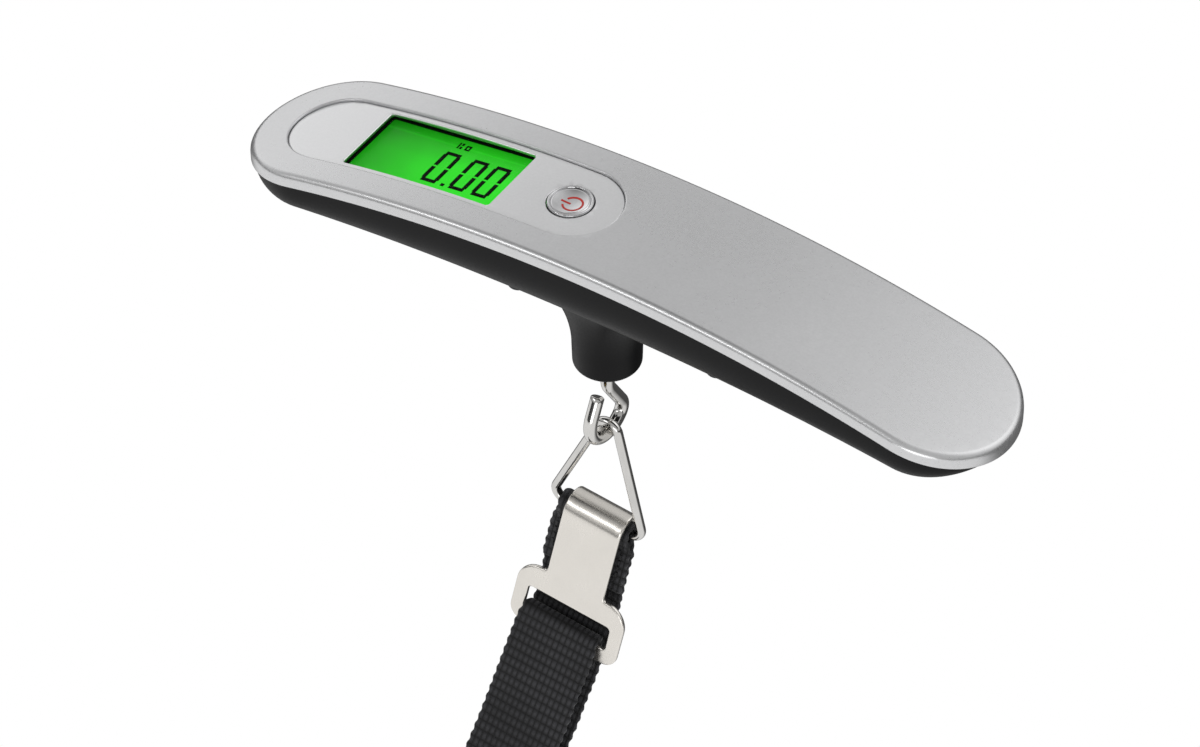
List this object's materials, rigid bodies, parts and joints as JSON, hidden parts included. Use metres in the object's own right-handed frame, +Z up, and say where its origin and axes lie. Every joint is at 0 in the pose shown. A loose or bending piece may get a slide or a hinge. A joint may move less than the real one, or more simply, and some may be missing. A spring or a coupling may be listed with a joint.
{
  "type": "digital luggage scale",
  "caption": "Handheld digital luggage scale: arched handle with a backlit display and power button, load cell inside, swivel hook, wire ring, plate clip and webbing strap",
  "frame": {"origin": "the crown of the top cover, in the middle of the body's length and width", "axes": "+X runs along the body to its plain end, -X to the display end, -Y is the front, +Z is up; the strap hangs down -Z"},
  "size_m": [0.17, 0.1018, 0.2204],
  "materials": {
    "satin_silver": "satin silver with fine grain",
    "panel_silver": "smooth satin silver",
    "clear_window": "clear acrylic",
    "lcd_green": "green backlit LCD",
    "lcd_ink": "dark liquid crystal segments",
    "light_guide": "frosted acrylic light guide",
    "white_plastic": "white moulded plastic",
    "elastomer": "layered conductive elastomer",
    "board_green": "glass fibre board with solder mask",
    "chip_black": "black moulding",
    "switch_metal": "stamped steel",
    "zinc_screw": "zinc plated",
    "chrome": "bright chrome plating",
    "red_print": "red printed mark",
    "black_plastic": "smooth black plastic with a soft sheen",
    "brass_bush": "plain brass",
    "aluminium_beam": "milled aluminium",
    "gauge_foil": "foil gauge on brown film",
    "wire_red": "red wire insulation",
    "nickel_wire": "polished nickel plated steel wire",
    "nickel_plate": "satin nickel plated steel sheet with polished edges",
    "webbing": "black woven nylon webbing",
    "thread": "black sewing thread",
    "cell_steel": "plain steel can",
    "spring_contact": "nickel plated spring strip",
    "black_screw": "black oxide steel"
  },
  "bodies": {
    "housing": {"top_cover": "satin_silver", "display_panel": "panel_silver", "display_window": "clear_window", "lcd_glass": "lcd_green", "lcd_digits": "lcd_ink", "backlight": "light_guide", "lcd_frame": "white_plastic", "lcd_connector": "elastomer", "circuit_board": "board_green", "board_chips": "chip_black", "tact_switch": "switch_metal", "board_screws": "zinc_screw", "lower_housing": "black_plastic", "neck_bush": "brass_bush", "load_cell": "aluminium_beam", "strain_gauges": "gauge_foil", "load_cell_screws": "zinc_screw", "load_cell_wires": "wire_red", "coin_cell": "cell_steel", "battery_contact_plus": "spring_contact", "battery_contact_minus": "spring_contact", "battery_leads": "wire_red", "housing_screws": "black_screw"},
    "button": {"power_button": "chrome", "power_symbol": "red_print", "switch_plunger": "chip_black"},
    "door": {"battery_door": "black_plastic"},
    "swivel_hook": {"hook": "nickel_wire", "hook_washer": "zinc_screw", "hook_nut": "zinc_screw"},
    "ring": {"strap_ring": "nickel_wire"},
    "clip": {"strap_clip": "nickel_plate"},
    "loop": {"strap": "webbing", "strap_stitching": "thread"}
  },
  "joints": [
    {"name": "button_press", "type": "slide", "parent": "housing", "child": "button", "axis": [0.0407, 0, -0.9992], "range_m": [0, 0.0004], "stiffness_N_per_m": 3000, "springref_m": -0.0002},
    {"name": "door_hinge", "type": "hinge", "parent": "housing", "child": "door", "pos_m": [0.05897, 0, -0.01918], "axis": [0, -1, 0], "range_deg": [0, 60]},
    {"name": "hook_swivel", "type": "hinge", "parent": "housing", "child": "swivel_hook", "pos_m": [-0.0043, 0, -0.038], "axis": [0, 0, 1], "continuous": true},
    {"name": "ring_swing", "type": "hinge", "parent": "swivel_hook", "child": "ring", "pos_m": [-0.0043, 0.00007, -0.05782], "axis": [0, 1, 0], "range_deg": [-70, 70]},
    {"name": "strap_swing", "type": "hinge", "parent": "ring", "child": "loop", "pos_m": [-0.007, 0.00007, -0.08348], "axis": [0.9945, 0, -0.1045], "range_deg": [-60, 60]},
    {"name": "clip_swing", "type": "hinge", "parent": "ring", "child": "clip", "pos_m": [-0.007, 0.00007, -0.08348], "axis": [0.9945, 0, -0.1045], "range_deg": [-60, 60]}
  ],
  "couplings": [
    {"joint": "clip_swing", "follows": "strap_swing", "ratio": 1}
  ]
}
